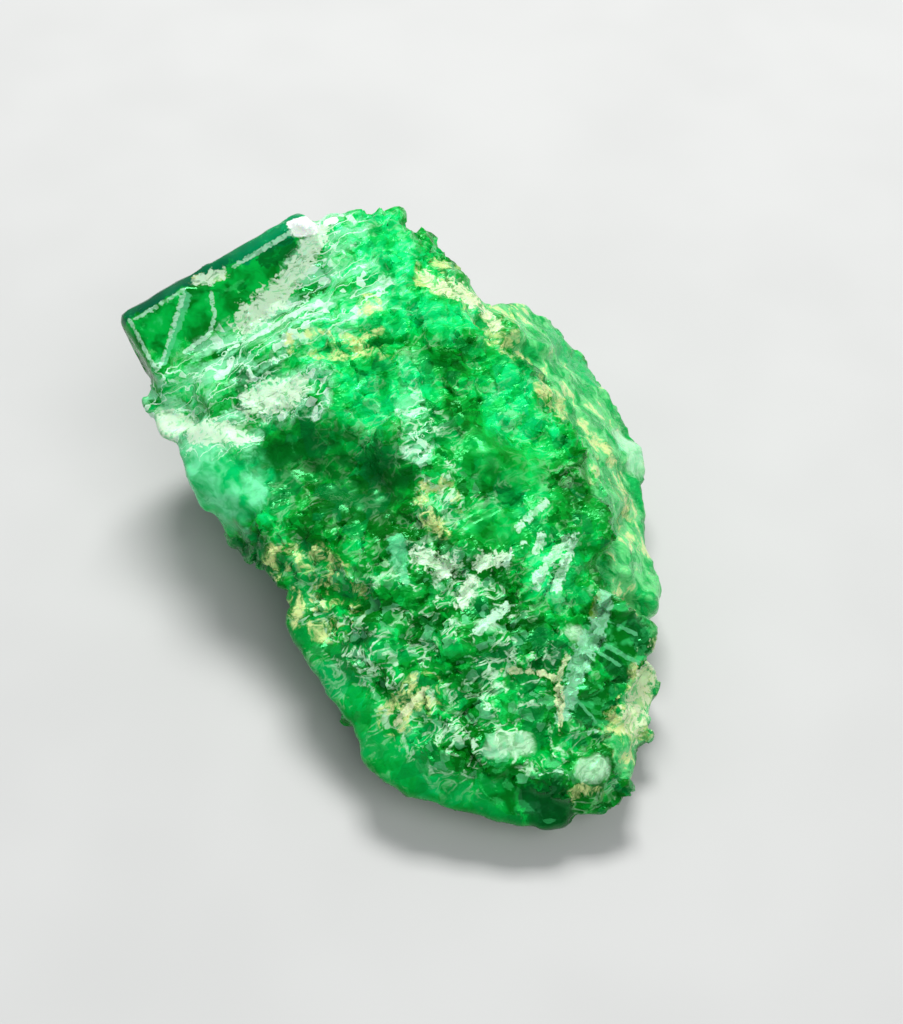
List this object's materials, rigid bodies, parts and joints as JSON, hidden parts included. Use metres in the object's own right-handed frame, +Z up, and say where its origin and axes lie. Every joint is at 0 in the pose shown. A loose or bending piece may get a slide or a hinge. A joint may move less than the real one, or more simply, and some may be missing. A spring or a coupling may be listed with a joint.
{
  "type": "rough emerald crystal specimen",
  "caption": "Hand specimen of rough green beryl: a wedge-shaped broken mass with a flat-faced prism at its thick end and a small crystal on its ridge. It lies on a flat underside.",
  "frame": {"origin": "middle of the stone's bounding box, at the level of the underside that it lies on", "axes": "+X along the stone's long way, from its thick prism end to its thin end; +Y to the flank behind the ridge; +Z up, away from the underside"},
  "size_m": [0.0392, 0.0276, 0.0167],
  "materials": {
    "emerald": "rough broken beryl, glassy on its crystal faces, with mint to white veils"
  },
  "bodies": {
    "root": {"emerald": "emerald"}
  },
  "joints": []
}
